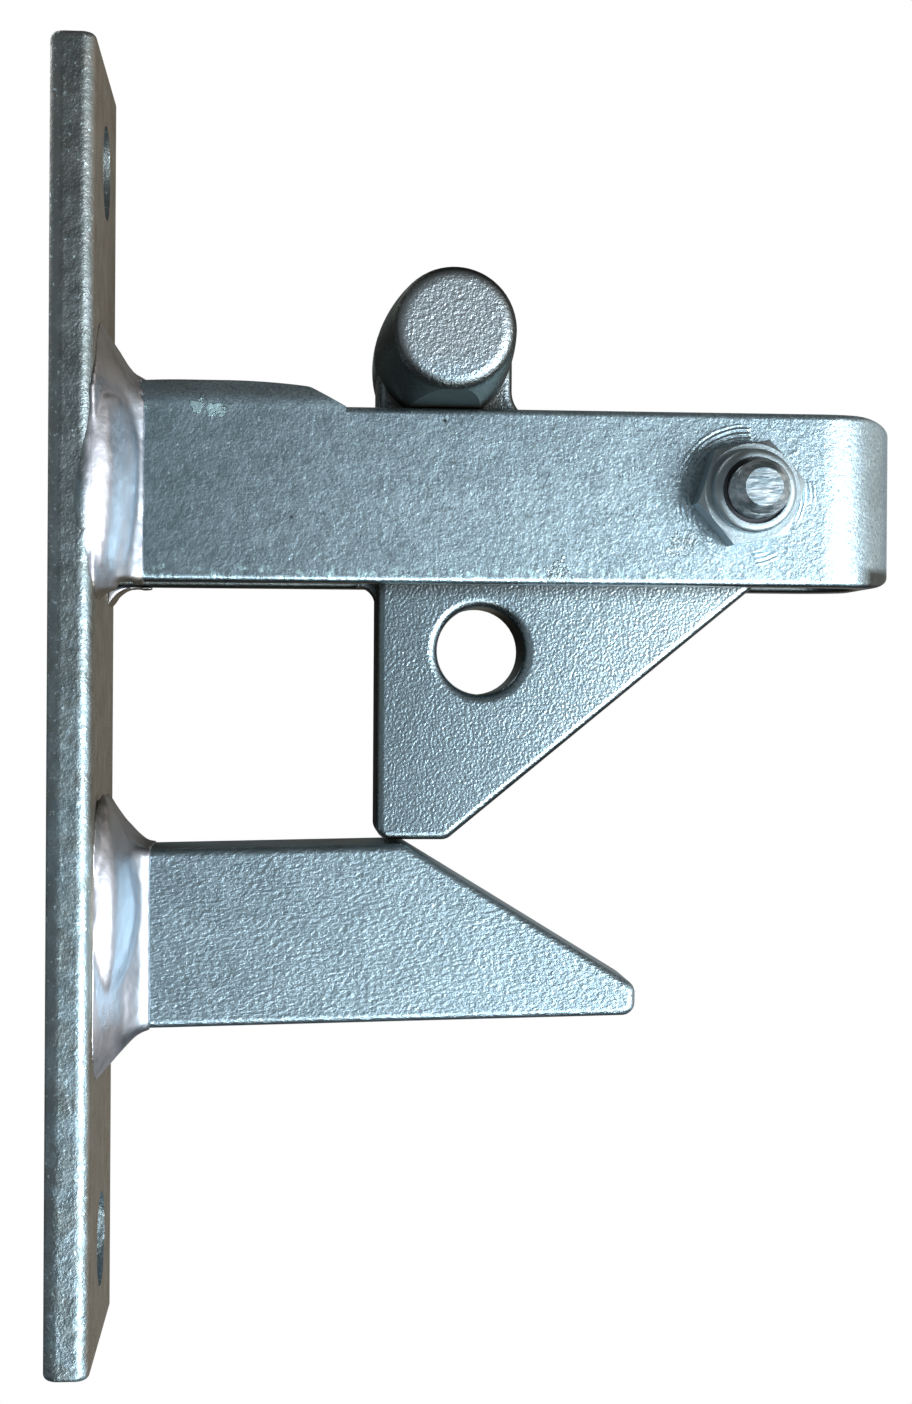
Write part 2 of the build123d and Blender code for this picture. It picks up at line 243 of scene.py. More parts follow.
# Extra runs of weld metal in millimetres: outline in X and Y, the middle it tapers to, its lean
# in X per millimetre of height, its lowest and highest points, and how soon it tapers; the upper
# one covers the plate's near corner
UPPER_RUN = (
    (3.0, -24.6), (4.0, -25.1), (5.0, -25.3), (6.0, -25.25), (7.2, -24.95), (8.5, -24.4),
    (9.6, -23.5), (10.8, -21.6), (12.2, -19.0), (13.4, -17.0), (13.8, -15.4), (3.0, -15.4),
)
KEEPER_RUN = (
    (7.0, -21.4), (8.6, -21.7), (10.0, -21.4), (11.2, -20.7), (12.3, -19.4), (13.2, -17.4),
    (14.2, -14.6), (15.0, -11.6), (7.0, -11.6),
)
WELD_RUNS = {
    "upper_weld": (UPPER_RUN, (6.0, -18.5), 0.05, 18.0, 56.0, 0.25),
    "keeper_weld": (KEEPER_RUN, (9.0, -14.0), 0.0, -56.0, -15.0, 0.8),
}

# Steps along a run's mesh, and the share of its outline that is left at its two ends
RUN_STEPS = 16
RUN_END = 0.05

# Hollow corner on the tongue's window face in millimetres: the face, the strap's underside, its
# radius and half width, how deep it is rooted in the face, how thick its lip is, how far the
# slope above the lip reaches up, and the count of steps round its hollow
TONGUE_FACE = 57.4
STRAP_UNDERSIDE = 22.3
CORNER_RADIUS = 3.4
CORNER_HALF = 4.5
CORNER_ROOT = 0.8
CORNER_LIP = 0.7
CORNER_SLOPE = 8.0
CORNER_STEPS = 16

# Degrees above which an added piece keeps an edge sharp, and the angle that keeps none
EDGE_ANGLE = 32
NO_EDGE = 180


def maths(tree, operation, first, second):
    """Output of a node that works out a number from two others."""
    node = tree.nodes.new("ShaderNodeMath")
    node.operation = operation
    tree.links.new(first, node.inputs[0])
    tree.links.new(second, node.inputs[1])
    return node.outputs[0]


class Paint:
    """A node material, with short calls that add nodes and link them."""

    def __init__(self, name):
        self.material = bpy.data.materials.new(name)
        self.material.use_nodes = True
        self.tree = self.material.node_tree
        self.shader = self.tree.nodes["Principled BSDF"]
        self.place = self.add("ShaderNodeTexCoord").outputs["Object"]
        shift = self.add("ShaderNodeVectorMath", operation="ADD")
        shift.inputs[1].default_value = PATTERN_SHIFT
        self.join(self.place, shift.inputs[0])
        self.pattern = shift.outputs["Vector"]

    def add(self, kind, **settings):
        """New node of a kind, with its settings."""
        node = self.tree.nodes.new(kind)
        for key, value in settings.items():
            setattr(node, key, value)
        return node

    def join(self, source, target):
        """Links an output to an input."""
        self.tree.links.new(source, target)

    def times(self, first, second):
        """Product of two numbers."""
        return maths(self.tree, "MULTIPLY", first, second)

    def larger(self, first, second):
        """Larger one of two numbers."""
        return maths(self.tree, "MAXIMUM", first, second)

    def total(self, first, second):
        """Sum of two numbers."""
        return maths(self.tree, "ADD", first, second)

    def part(self, vector, axis):
        """Share of a vector along an axis."""
        split = self.add("ShaderNodeSeparateXYZ")
        self.join(vector, split.inputs["Vector"])
        return split.outputs[axis]

    def range(self, value, low, high, out_low=0.0, out_high=1.0):
        """Value between low and high, spread over out_low to out_high."""
        node = self.add("ShaderNodeMapRange")
        self.join(value, node.inputs["Value"])
        keys = ("From Min", "From Max", "To Min", "To Max")
        for key, number in zip(keys, (low, high, out_low, out_high)):
            node.inputs[key].default_value = number
        return node.outputs["Result"]

    def noise(self, size_mm, detail, rough=0.5, stretch=None):
        """Cloudy pattern whose blots are about size_mm across."""
        node = self.add("ShaderNodeTexNoise")
        node.inputs["Scale"].default_value = 1.0 / (size_mm * MM)
        node.inputs["Detail"].default_value = detail
        node.inputs["Roughness"].default_value = rough
        place = self.pattern
        if stretch:
            turn, scale = stretch
            mapping = self.add("ShaderNodeMapping")
            mapping.inputs["Rotation"].default_value = [math.radians(a) for a in turn]
            mapping.inputs["Scale"].default_value = scale
            self.join(place, mapping.inputs["Vector"])
            place = mapping.outputs["Vector"]
        self.join(place, node.inputs["Vector"])
        return node.outputs["Fac"]

    def cloud(self, size_mm, detail, low=0.0, high=1.0, rough=0.5):
        """Cloudy pattern spread over low to high."""
        return self.range(self.noise(size_mm, detail, rough), *CLOUD_SPAN, low, high)

    def blots(self, size_mm, detail, rough, span, most=1.0, stretch=None):
        """Blots of a cloudy pattern: 0 at the start of a span of its values, most at its end."""
        return self.range(self.noise(size_mm, detail, rough, stretch), *span, 0.0, most)

    def along(self, axis, span, most=1.0):
        """0 at the start of a span in millimetres along an axis, rising to most at its end."""
        low, high = (v * MM for v in span)
        return self.range(self.part(self.place, axis), low, high, 0.0, most)

    def facing(self, axis, span, most=1.0):
        """0 at the start of a span of the normal's share along an axis, most at its end."""
        normal = self.add("ShaderNodeNewGeometry").outputs["Normal"]
        return self.range(self.part(normal, axis), *span, 0.0, most)

    def near(self, spot, radius_mm, ragged_mm, most=1.0):
        """Most within a ragged-edged distance of a spot in millimetres, and 0 elsewhere."""
        away = self.add("ShaderNodeVectorMath", operation="DISTANCE")
        self.join(self.place, away.inputs[0])
        away.inputs[1].default_value = [v * MM for v in spot]
        rag = self.cloud(1.4, 3, -ragged_mm * MM, ragged_mm * MM, rough=0.6)
        reach = self.total(away.outputs["Value"], rag)
        radius = radius_mm * MM
        return self.range(reach, radius, SPOT_CORE * radius, 0.0, most)

    def mix(self, factor, first, second):
        """Colour between first and second; each is a colour or another node's output."""
        node = self.add("ShaderNodeMix", data_type="RGBA")
        self.join(factor, node.inputs["Factor"])
        for socket, colour in ((node.inputs[6], first), (node.inputs[7], second)):
            if isinstance(colour, tuple):
                socket.default_value = (*colour, 1.0)
            else:
                self.join(colour, socket)
        return node.outputs[2]

    def bump(self, height, depth_mm, under=None):
        """Surface relief of a depth in millimetres, over an earlier relief if there is one."""
        node = self.add("ShaderNodeBump")
        node.inputs["Distance"].default_value = depth_mm * MM
        self.join(height, node.inputs["Height"])
        if under is not None:
            self.join(under, node.inputs["Normal"])
        return node.outputs["Normal"]

    def tint(self, factor, colour):
        """Paints a reflection: tints what the metal mirrors at a glancing angle."""
        self.join(self.mix(factor, WHITE, colour), self.shader.inputs["Specular Tint"])

    def finish(self, colour, rough, normal, metallic=1.0):
        """Links the shader's inputs and gives the material."""
        self.join(colour, self.shader.inputs["Base Color"])
        self.join(rough, self.shader.inputs["Roughness"])
        self.shader.inputs["Metallic"].default_value = metallic
        self.join(normal, self.shader.inputs["Normal"])
        return self.material


def pits(paint):
    """1 in small round pits scattered over the surface, and 0 elsewhere."""
    cells = paint.add("ShaderNodeTexVoronoi")
    cells.inputs["Scale"].default_value = 1.0 / (PIT_SPACING * MM)
    paint.join(paint.pattern, cells.inputs["Vector"])
    radius = PIT_RADIUS / PIT_SPACING
    return paint.range(cells.outputs["Distance"], radius, PIT_CORE * radius)


def zinc_colour(paint, cloud_mm, speckle_mm):
    """Cloudy blue-grey zinc with a dark and a pale speckle and a few pits."""
    cloud = paint.blots(cloud_mm, 3, 0.5, (0.35, 0.65))
    dark = paint.blots(speckle_mm, 2, 0.6, (0.49, 0.36), most=0.95)
    pale = paint.blots(1.3 * speckle_mm, 2, 0.6, (0.54, 0.66), most=0.95)
    colour = paint.mix(cloud, ZINC_DULL, ZINC_PALE)
    colour = paint.mix(dark, colour, ZINC_DARK_AND_SHADE)
    colour = paint.mix(pale, colour, ZINC_SPECK_AND_SHEEN)
    return paint.mix(pits(paint), colour, PIT)


def with_crevice_shade(paint, colour, reach_mm, strength):
    """Colour with brown painted shade where the surface lies close to another."""
    near = paint.add("ShaderNodeAmbientOcclusion", samples=CREVICE_SHADE_SAMPLES)
    near.inputs["Distance"].default_value = reach_mm * MM
    crevice_dark = paint.range(near.outputs["AO"], *CREVICE_SHADE_SPAN, 0.0, strength)
    return paint.mix(crevice_dark, colour, CREVICE_SHADE)


def scuffs(paint):
    """1 along broken rings round the pivot, where the nut was run down, and 0 elsewhere."""
    away = paint.add("ShaderNodeVectorMath", operation="SUBTRACT")
    paint.join(paint.place, away.inputs[0])
    away.inputs[1].default_value = (PIVOT[0] * MM, -STRAP_HALF * MM, PIVOT[1] * MM)
    reach = paint.add("ShaderNodeVectorMath", operation="LENGTH")
    paint.join(away.outputs["Vector"], reach.inputs[0])
    rings = paint.add("ShaderNodeTexWave", wave_type="RINGS", rings_direction="Y")
    rings.inputs["Scale"].default_value = SCUFF_RINGS / MM
    rings.inputs["Distortion"].default_value = SCUFF_WANDER
    paint.join(away.outputs["Vector"], rings.inputs["Vector"])
    inner, outer = (
        paint.range(reach.outputs["Value"], *(v * MM for v in span))
        for span in (SCUFF_INNER, SCUFF_OUTER)
    )
    broken = paint.blots(4.5, 1, 0.5, (0.50, 0.60))
    return paint.times(paint.times(rings.outputs["Fac"], inner), paint.times(outer, broken))


def bar_paint(name):
    """Galvanised flat bar: cloudy and speckled, with painted glints and dross, scuffed round the
    pivot.

    Painted shade darkens it towards the plate, on its undersides and in the mouth of the strap's
    slot.
    """
    paint = Paint(name)
    # Brown painted shade in the bar's crevices
    colour = with_crevice_shade(paint, zinc_colour(paint, 9, 0.4), 4, 0.4)
    # Painted shade: the strap darkens towards the plate, where its light falls off
    root = paint.times(paint.along("X", BAR_SHADE_X, most=0.75), paint.along("Z", BAR_SHADE_Z))
    colour = paint.mix(root, colour, ZINC_DARK_AND_SHADE)
    blotches = paint.blots(16, 5, 0.7, (0.50, 0.66), most=0.45)
    colour = paint.mix(blotches, colour, ZINC_DARK_AND_SHADE)
    crumbs = paint.blots(1.5, 4, 0.7, (0.66, 0.70), most=0.7)
    colour = paint.mix(crumbs, colour, DROSS)
    flecks = paint.blots(0.9, 2, 0.6, (0.67, 0.72))
    colour = paint.mix(flecks, colour, ZINC_FLECK_AND_GLINT)
    drips = paint.times(paint.blots(1.6, 3, 0.5, (0.54, 0.60)), paint.along("Z", BAR_DRIP_Z))
    colour = paint.mix(drips, colour, ZINC_FLECK_AND_GLINT)
    # Painted shade in the mouth of the strap's slot
    slot = paint.times(paint.along("Y", SLOT_SHADE_NEAR_Y, most=0.95), paint.along("Y", SLOT_SHADE_FAR_Y))
    slot = paint.times(slot, paint.along("Z", SLOT_SHADE_Z))
    colour = paint.mix(slot, colour, ZINC_SHADE_DARK)
    # Painted highlights: bright glints beside the stop plate, also raised a little like the dross
    glints = [paint.near((x, -STRAP_HALF, z), GLINT_RADIUS, GLINT_RAGGED) for x, z in GLINT_SPOTS]
    glint_and_dross_relief = glints[0]
    for glint in glints[1:]:
        glint_and_dross_relief = paint.larger(glint_and_dross_relief, glint)
    colour = paint.mix(glint_and_dross_relief, colour, ZINC_FLECK_AND_GLINT)
    for x, z, radius in DROSS_SPOTS:
        dross = paint.near((x, -STRAP_HALF, z), radius, DROSS_RAGGED, most=0.5)
        colour = paint.mix(dross, colour, DROSS)
        glint_and_dross_relief = paint.larger(glint_and_dross_relief, paint.times(dross, paint.noise(0.8, 3, 0.7)))
    # Painted shade on the bar's downward faces
    colour = paint.mix(paint.facing("Z", BAR_UNDER_SHADE, most=0.95), colour, ZINC_SHADE_DARK)
    rough = paint.cloud(2, 3, 0.34, 0.41)
    skin = paint.bump(paint.noise(4.5, 2), 0.06)
    skin = paint.bump(paint.noise(0.85, 2, 0.55), 0.075, skin)
    skin = paint.bump(paint.noise(0.36, 2), 0.04, skin)
    skin = paint.bump(glint_and_dross_relief, 0.35, skin)
    skin = paint.bump(scuffs(paint), 0.10, skin)
    return paint.finish(colour, rough, skin)


def keeper_paint(name):
    """Galvanised keeper bar: a pebbled skin drawn out on the slant, darker towards its point."""
    paint = Paint(name)
    shade = paint.cloud(8, 3, 0.55, 1.0)
    colour = paint.mix(shade, zinc_colour(paint, 9, 0.3), ZINC_DARK_AND_SHADE)
    colour = paint.mix(paint.along("X", KEEPER_POINT_X, most=0.45), colour, ZINC_DARK_AND_SHADE)
    rough = paint.cloud(2, 3, 0.34, 0.42)
    skin = paint.bump(paint.noise(0.62, 2, 0.5, KEEPER_SLANT), 0.15)
    skin = paint.bump(paint.noise(0.26, 2), 0.04, skin)
    return paint.finish(colour, rough, skin)


def plate_paint(name):
    """Galvanised post plate: brown on its window face as a painted reflection, patchy, and darker
    along its near edge, with the strap's painted shadow on its upper part.

    It browns towards its top and is crusty at its foot.
    """
    paint = Paint(name)
    shade = paint.cloud(7, 3, 0.50, 1.0)
    colour = paint.mix(shade, zinc_colour(paint, 8, 0.4), PLATE_DARK)
    colour = paint.mix(paint.along("Z", PLATE_BROWN_Z, most=0.6), colour, PLATE_BROWN)
    patches = paint.blots(5, 5, 0.7, (0.44, 0.60), most=0.8)
    colour = paint.mix(patches, colour, DROSS)
    flecks = paint.blots(0.9, 2, 0.6, (0.64, 0.70))
    colour = paint.mix(flecks, colour, ZINC_SPECK_AND_SHEEN)
    # Painted shade on the near edge: the strap's shadow over its upper part, and darker towards
    # its foot
    edge = paint.facing("Y", PLATE_EDGE)
    for span, most in ((PLATE_STRAP_SHADOW_Z, 0.30), (PLATE_LOWER_Z, 0.25)):
        colour = paint.mix(paint.times(edge, paint.along("Z", span, most)), colour, ZINC_SHADE_DARK)
    # Painted reflection: brown colour and a brown glancing tint on the window face, for the brown
    # surroundings it mirrors
    window_reflection = paint.facing("X", PLATE_BROAD, most=0.85)
    colour = paint.mix(window_reflection, colour, ZINC_BROWN_REFLECTION)
    paint.tint(window_reflection, BROWN_REFLECTION_TINT)
    rough = paint.cloud(4, 3, 0.40, 0.54)
    skin = paint.bump(paint.noise(2.2, 3, 0.6), 0.22)
    crust = paint.times(paint.noise(1.3, 3, 0.65), paint.along("Z", PLATE_CRUST_Z))
    skin = paint.bump(crust, 0.22, skin)
    skin = paint.bump(paint.noise(0.45, 2), 0.07, skin)
    return paint.finish(colour, rough, skin)


def casting_paint(name):
    """Galvanised iron casting: sand-cast grain, with painted shade towards the window and painted
    light towards the eye.

    Painted shade and a darkened painted reflection make the barrel of the handle's near half, the
    window face and the undersides dark.
    """
    paint = Paint(name)
    # Painted shade towards the window and painted light towards the eye, standing in for the way
    # light falls across the tongue's face
    window_side_shade = paint.times(paint.along("X", TONGUE_SHADE_X, most=0.95), paint.along("Z", TONGUE_SHADE_Z))
    colour = paint.mix(window_side_shade, zinc_colour(paint, 7, 0.4), ZINC_DARK_AND_SHADE)
    colour = paint.mix(paint.along("X", TONGUE_LIT_X, most=0.75), colour, ZINC_SPECK_AND_SHEEN)
    # Painted shade on the casting's downward faces
    colour = paint.mix(paint.facing("Z", TONGUE_UNDER_SHADE, most=0.85), colour, ZINC_SHADE_DARK)
    # Painted shade and a darkened painted reflection on the handle's near barrel, its flat seat
    # and the window faces
    barrel = paint.times(paint.facing("Y", BARREL_SIDE, most=0.97), paint.along("Z", BARREL_Z))
    barrel = paint.times(barrel, paint.along("Y", BARREL_Y))
    window = paint.times(paint.facing("X", WINDOW_SIDE, most=0.85), paint.along("Z", WINDOW_Z))
    shaded = paint.larger(barrel, window)
    colour = paint.mix(paint.along("Z", HANDLE_GREY_Z, most=0.7), colour, HANDLE_GREY)
    colour = paint.mix(shaded, colour, ZINC_SHADE_DARK)
    seat = paint.facing("Z", SEAT_SIDE)
    paint.tint(shaded, paint.mix(seat, DARK_REFLECTION_TINT, SEAT_REFLECTION_TINT))
    # Brown painted shade in the casting's crevices
    colour = with_crevice_shade(paint, colour, 5, 0.9)
    handle = paint.along("Z", HANDLE_GRAIN_Z)
    rough = paint.range(handle, 0.0, 1.0, 0.33, 0.44)
    skin = paint.bump(paint.noise(3, 2), 0.05)
    skin = paint.bump(paint.times(paint.noise(0.66, 2, 0.6), handle), 0.17, skin)
    skin = paint.bump(paint.noise(0.5, 1.5), 0.10, skin)
    return paint.finish(colour, rough, skin)


def weld_paint(name, half_mm, flank, crown_mm):
    """Galvanised weld bead beside an arm of a half width: glossy, with painted shade just short of
    its toe.

    Flank is how much darker its arm side is. It is brown above crown_mm, has a painted brown
    reflection on its downward faces under the strap, and is crusty on the plate's corner.
    """
    paint = Paint(name)
    colour = paint.mix(paint.cloud(6, 2), WELD_GREY, WELD_PALE)
    colour = paint.mix(paint.along("X", WELD_FLANK_X, most=flank), colour, WELD_DARK_AND_SHADE)
    # Painted shade: a dark band just short of the toe, where the toe is kept bright
    toe_shade_band = paint.along("Y", [-(half_mm + out) for out in WELD_SHADE_BAND], most=0.8)
    ragged = paint.cloud(2.5, 3, -WELD_RAGGED * MM, WELD_RAGGED * MM)
    edge = paint.total(paint.part(paint.place, "Y"), ragged)
    toe = paint.range(edge, *(-(half_mm + out) * MM for out in WELD_TOE))
    colour = paint.mix(paint.times(toe_shade_band, toe), colour, WELD_DARK_AND_SHADE)
    # Painted reflection: brown colour and a brown glancing tint on the upper weld's downward faces
    under = paint.times(paint.facing("Z", WELD_UNDER, most=0.95), paint.along("Z", WELD_UNDER_Z))
    colour = paint.mix(under, colour, PLATE_BROWN)
    paint.tint(under, BROWN_REFLECTION_TINT)
    top = paint.along("Z", [crown_mm + past for past in WELD_CROWN], most=0.85)
    colour = paint.mix(top, colour, PLATE_BROWN)
    crust = paint.along("X", WELD_CRUST_X)
    patches = paint.blots(5, 5, 0.7, (0.44, 0.60))
    colour = paint.mix(crust, colour, paint.mix(patches, ZINC_DARK_AND_SHADE, DROSS))
    rough = paint.cloud(4, 2, 0.38, 0.50)
    skin = paint.bump(paint.times(paint.noise(1.6, 3, 0.6), crust), 0.22)
    skin = paint.bump(paint.noise(0.7, 2), 0.03, skin)
    return paint.finish(colour, rough, skin)


def plated_paint(name):
    """Bright zinc plate on machined steel."""
    paint = Paint(name)
    cloud = paint.blots(1.0, 3, 0.6, (0.42, 0.60), stretch=BOLT_STREAK)
    colour = paint.mix(cloud, ZINC_DARK_AND_SHADE, PLATED)
    rough = paint.cloud(2, 3, 0.32, 0.44)
    skin = paint.bump(paint.noise(0.7, 3, 0.6, BOLT_STREAK), 0.10)
    return paint.finish(colour, rough, skin)


def nut_paint(name):
    """Dull grey zinc plate of the lock nut."""
    paint = Paint(name)
    colour = paint.mix(paint.cloud(3, 3), NUT_GREY, NUT_PALE)
    rough = paint.cloud(2, 3, 0.43, 0.54)
    skin = paint.bump(paint.noise(0.4, 3), 0.06)
    return paint.finish(colour, rough, skin)


def nylon_paint(name):
    """Dark nylon ring of the lock nut."""
    paint = Paint(name)
    colour = paint.mix(paint.noise(1.5, 2), NYLON, NYLON_PALE)
    rough = paint.cloud(1.5, 2, 0.4, 0.55)
    skin = paint.bump(paint.noise(0.5, 1), 0.03)
    return paint.finish(colour, rough, skin, metallic=0.0)


def bare_tree(owner, output):
    """Node tree of a material or world, emptied, and the surface input of its new output node."""
    owner.use_nodes = True
    tree = owner.node_tree
    tree.nodes.clear()
    return tree, tree.nodes.new(output).inputs["Surface"]


def plain_shader(tree, kind, colour):
    """Shader of a kind in one colour."""
    shader = tree.nodes.new(kind)
    shader.inputs["Color"].default_value = (*colour, 1.0)
    return shader.outputs[0]


def show_white(tree, surface, white, other):
    """White for rays from the camera, from a gloss or through glass, and other for the rest."""
    path = tree.nodes.new("ShaderNodeLightPath")
    seen = path.outputs["Is Camera Ray"]
    for name in ("Is Glossy Ray", "Is Transmission Ray"):
        seen = maths(tree, "MAXIMUM", seen, path.outputs[name])
    mixer = tree.nodes.new("ShaderNodeMixShader")
    for number, source in enumerate((seen, other, white)):
        tree.links.new(source, mixer.inputs[number])
    tree.links.new(mixer.outputs[0], surface)


def glow(name, colour):
    """Material that gives off an even light."""
    material = bpy.data.materials.new(name)
    tree, surface = bare_tree(material, "ShaderNodeOutputMaterial")
    tree.links.new(plain_shader(tree, "ShaderNodeEmission", colour), surface)
    return material


def white_paper(name):
    """Matt paper that shows as plain white and lights the object no more than paper does."""
    material = bpy.data.materials.new(name)
    tree, surface = bare_tree(material, "ShaderNodeOutputMaterial")
    white = plain_shader(tree, "ShaderNodeEmission", WHITE)
    show_white(tree, surface, white, plain_shader(tree, "ShaderNodeBsdfDiffuse", PAPER))
    return material


def set_world():
    """White where it is seen or mirrored, and an even grey fill for everything else."""
    world = bpy.data.worlds.new("studio")
    bpy.context.scene.world = world
    tree, surface = bare_tree(world, "ShaderNodeOutputWorld")
    white, fill = (plain_shader(tree, "ShaderNodeBackground", c) for c in (WHITE, FILL))
    show_white(tree, surface, white, fill)


def card(name, place, normal, size, material, seen=False):
    """Flat card of a width and height that faces along normal."""
    mesh = bpy.data.meshes.new(name)
    w, h = (side / 2 for side in size)
    mesh.from_pydata([(-w, -h, 0), (w, -h, 0), (w, h, 0), (-w, h, 0)], [], [(0, 1, 2, 3)])
    mesh.materials.append(material)
    piece = bpy.data.objects.new(name, mesh)
    piece.location = place
    piece.rotation_euler = Vector(normal).to_track_quat("Z", "Y").to_euler()
    piece.visible_camera = seen
    bpy.context.collection.objects.link(piece)


def panel(name, azimuth, elevation, distance, size, watts, colour):
    """Square light panel aimed at the latch; azimuth 0 is its front and 90 its right side."""
    data = bpy.data.lights.new(name, "AREA")
    data.size = size
    data.energy = watts
    data.color = colour
    lamp = bpy.data.objects.new(name, data)
    a = math.radians(azimuth)
    e = math.radians(elevation)
    way = Vector((math.sin(a) * math.cos(e), -math.cos(a) * math.cos(e), math.sin(e)))
    lamp.location = AIM + way * distance
    lamp.rotation_euler = way.to_track_quat("Z", "Y").to_euler()
    lamp.visible_camera = False
    bpy.context.collection.objects.link(lamp)


def add_camera():
    """Camera of the photo: its place, its turn and its focal length."""
    yaw, pitch, roll = (math.radians(a) for a in (CAMERA_YAW, CAMERA_PITCH, CAMERA_ROLL))
    onward = math.cos(pitch)
    ahead = Vector((math.sin(yaw) * onward, math.cos(yaw) * onward, math.sin(pitch)))
    level = Vector((math.cos(yaw), -math.sin(yaw), 0.0))
    down = ahead.cross(level)
    right = math.cos(roll) * level + math.sin(roll) * down
    below = -math.sin(roll) * level + math.cos(roll) * down
    data = bpy.data.cameras.new("camera")
    data.sensor_fit = "VERTICAL"
    data.sensor_height = SENSOR_HEIGHT
    data.lens = FOCAL_PIXELS / IMAGE_HEIGHT * SENSOR_HEIGHT
    data.clip_start = CLIP_START
    camera = bpy.data.objects.new("camera", data)
    turn = Matrix((right, -below, -ahead)).transposed().to_4x4()
    camera.matrix_world = Matrix.Translation(Vector(CAMERA_PLACE) * MM) @ turn
    bpy.context.collection.objects.link(camera)
    bpy.context.scene.camera = camera


def dress(name, material):
    """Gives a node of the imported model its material."""
    piece = nodes[name]
    piece.data.materials.clear()
    piece.data.materials.append(material)


def rounded_look(mesh, sharp_angle):
    """Smooth shading that keeps the edges sharper than an angle in degrees."""
    mesh.polygons.foreach_set("use_smooth", [True] * len(mesh.polygons))
    mesh.set_sharp_from_angle(angle=math.radians(sharp_angle))


def close_rings(built, rings):
    """Closed skin over rings of as many points each, with a face on the first and the last."""
    count = len(rings[0])
    faces = [built.faces.new(rings[0]), built.faces.new(rings[-1])]
    for first, second in zip(rings, rings[1:]):
        for step in range(count):
            following = (step + 1) % count
            corners = (first[step], first[following], second[following], second[step])
            faces.append(built.faces.new(corners))
    bmesh.ops.recalc_face_normals(built, faces=faces)


def new_piece(name, built, material):
    """Piece of a built mesh, shaded smooth between its edges."""
    mesh = bpy.data.meshes.new(name)
    built.to_mesh(mesh)
    built.free()
    mesh.materials.append(material)
    rounded_look(mesh, EDGE_ANGLE)
    piece = bpy.data.objects.new(name, mesh)
    bpy.context.collection.objects.link(piece)
    return piece


def add_weld_run(mesh, outline, middle, tilt, low, high, taper):
    """Adds a run of weld metal that tapers at both ends."""
    built = bmesh.new()
    built.from_mesh(mesh)
    rings = []
    for level in range(RUN_STEPS + 1):
        share = level / RUN_STEPS
        full = RUN_END + (1 - RUN_END) * math.sin(math.pi * share) ** taper
        z = low + share * (high - low)
        lean = tilt * (z - low)
        ring = []
        for x, y in outline:
            wide = middle[0] + full * (x - middle[0]) + lean
            deep = middle[1] + full * (y - middle[1])
            ring.append(built.verts.new(Vector((wide, deep, z)) * MM))
        rings.append(ring)
    close_rings(built, rings)
    built.to_mesh(mesh)
    built.free()


def shares(place, sizes):
    """Place divided by a size along each axis."""
    return Vector([c / size for c, size in zip(place, sizes)])


def weld_skin(name, node, material):
    """Lumpy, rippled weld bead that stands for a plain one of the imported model."""
    piece = bpy.data.objects.new(name, nodes[node].data.copy())
    bpy.context.collection.objects.link(piece)
    add_weld_run(piece.data, *WELD_RUNS[node])
    remesh = piece.modifiers.new("even", "REMESH")
    remesh.mode = "VOXEL"
    remesh.voxel_size = WELD_MESH * MM
    evaluated = piece.evaluated_get(bpy.context.evaluated_depsgraph_get())
    remeshed = bpy.data.meshes.new_from_object(evaluated)
    piece.modifiers.clear()
    built = bmesh.new()
    built.from_mesh(remeshed)
    axes = {"use_axis_x": True, "use_axis_y": True, "use_axis_z": True}
    for _ in range(WELD_PASSES):
        bmesh.ops.smooth_vert(built, verts=built.verts, factor=0.5, **axes)
    built.normal_update()
    for vert in built.verts:
        place = vert.co / MM
        lump = noise.noise(shares(place, WELD_LUMP_SIZE))
        ripple = noise.noise(shares(place, WELD_RIPPLE_SIZE) + WELD_RIPPLE_SHIFT)
        height = WELD_SWELL + WELD_LUMP * lump + WELD_RIPPLE * ripple
        vert.co += vert.normal * height * MM
    built.to_mesh(remeshed)
    built.free()
    remeshed.materials.clear()
    remeshed.materials.append(material)
    rounded_look(remeshed, NO_EDGE)
    piece.data = remeshed
    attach(piece, "bracket")
    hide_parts(node)


def turned_piece(name, rows, turns, ring_at, material):
    """Closed piece round the pivot axis; ring_at gives radius and Y in mm at an angle and row."""
    built = bmesh.new()
    rings = []
    for row in range(rows):
        ring = []
        for step in range(turns):
            angle = 2 * math.pi * step / turns
            radius, y = ring_at(angle, row)
            x = PIVOT[0] + radius * math.cos(angle)
            z = PIVOT[1] + radius * math.sin(angle)
            ring.append(built.verts.new(Vector((x, y, z)) * MM))
        rings.append(ring)
    close_rings(built, rings)
    return new_piece(name, built, material)


